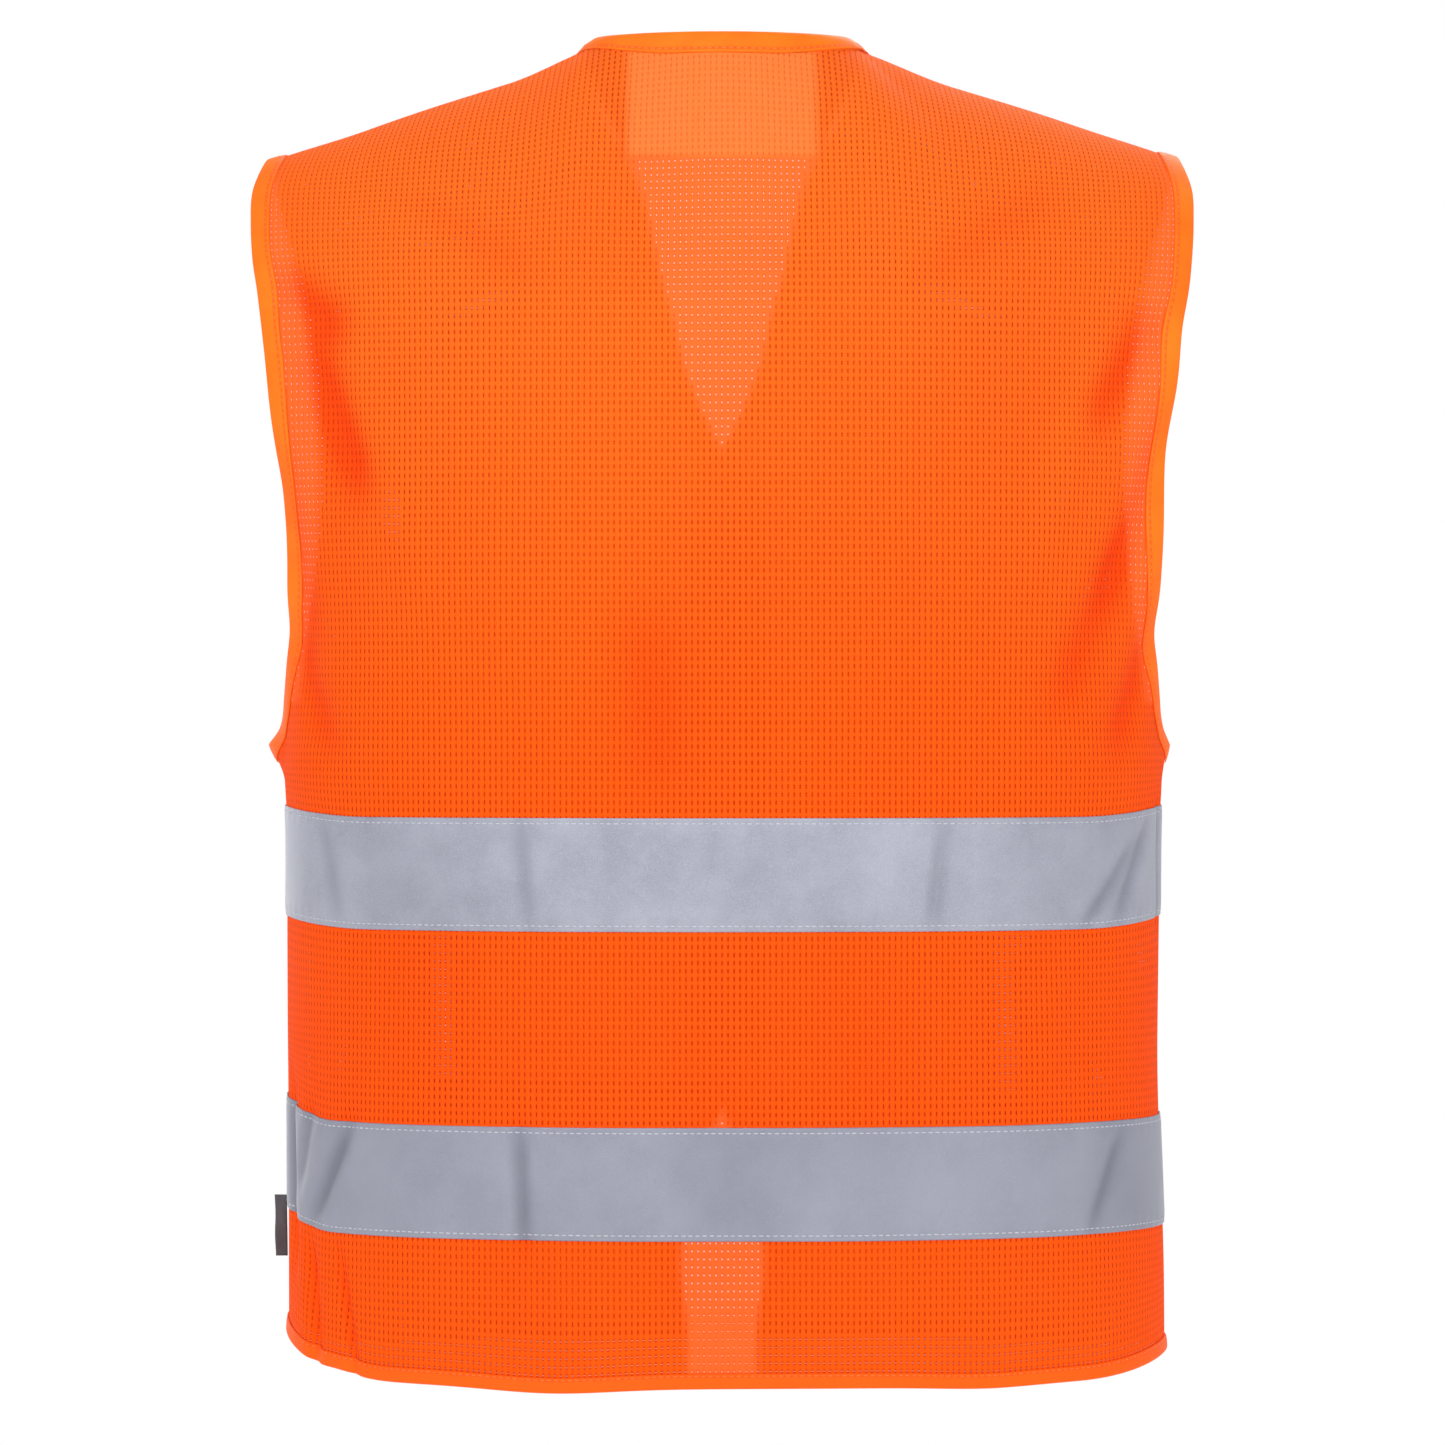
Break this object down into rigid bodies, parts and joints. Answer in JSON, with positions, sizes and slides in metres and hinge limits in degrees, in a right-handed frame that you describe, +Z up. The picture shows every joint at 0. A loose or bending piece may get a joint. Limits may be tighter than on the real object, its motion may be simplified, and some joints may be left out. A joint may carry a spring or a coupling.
{
  "type": "high visibility vest",
  "caption": "Sleeveless mesh safety vest with V neck, bound edges, two reflective bands round the body and an overlapping front that opens.",
  "frame": {"origin": "midway between the two neck points, where the neckline meets the shoulder ridge, at their height", "axes": "+Z up along the wearer, the chest and the opening face -Y, +X is the wearer's left"},
  "size_m": [0.435, 0.2356, 0.6047],
  "materials": {
    "mesh_cloth": "fluorescent orange perforated polyester knit",
    "binding": "smooth fluorescent orange polyester strip",
    "reflective_tape": "silver grey glass bead cloth",
    "lining": "plain orange knit without holes",
    "loop_tape": "soft brushed loops",
    "hook_tape": "stiff fine hooks",
    "label": "dark woven tab, no lettering"
  },
  "bodies": {
    "back": {"back_panel": "mesh_cloth", "back_upper_tape": "reflective_tape", "back_lower_tape": "reflective_tape", "neck_patch": "lining", "neck_binding": "binding", "armhole_binding_back_left": "binding", "armhole_binding_back_right": "binding", "hem_binding_back": "binding"},
    "front_left": {"front_left_panel": "mesh_cloth", "front_left_upper_tape": "reflective_tape", "front_left_lower_tape": "reflective_tape", "front_left_edge_binding": "binding", "armhole_binding_front_left": "binding", "hem_binding_front_left": "binding", "loop_patch_lower": "loop_tape", "loop_patch_upper": "loop_tape"},
    "front_right": {"front_right_panel": "mesh_cloth", "front_right_upper_tape": "reflective_tape", "front_right_lower_tape": "reflective_tape", "front_right_edge_binding": "binding", "armhole_binding_front_right": "binding", "hem_binding_front_right": "binding", "hook_patch_lower": "hook_tape", "hook_patch_upper": "hook_tape"},
    "label": {"side_label": "label"}
  },
  "joints": [
    {"name": "front_left_open", "type": "hinge", "parent": "back", "child": "front_left", "pos_m": [0.201, 0, -0.3], "axis": [0, 0, 1], "range_deg": [0, 60]},
    {"name": "front_right_open", "type": "hinge", "parent": "back", "child": "front_right", "pos_m": [-0.201, 0, -0.3], "axis": [0, 0, 1], "range_deg": [-48, 0]},
    {"name": "label_flip", "type": "hinge", "parent": "back", "child": "label", "pos_m": [0.2019, 0.0006, -0.5375], "axis": [0, 0, 1], "range_deg": [0, 60]}
  ],
  "couplings": [
    {"joint": "front_right_open", "follows": "front_left_open", "ratio": -0.8}
  ]
}
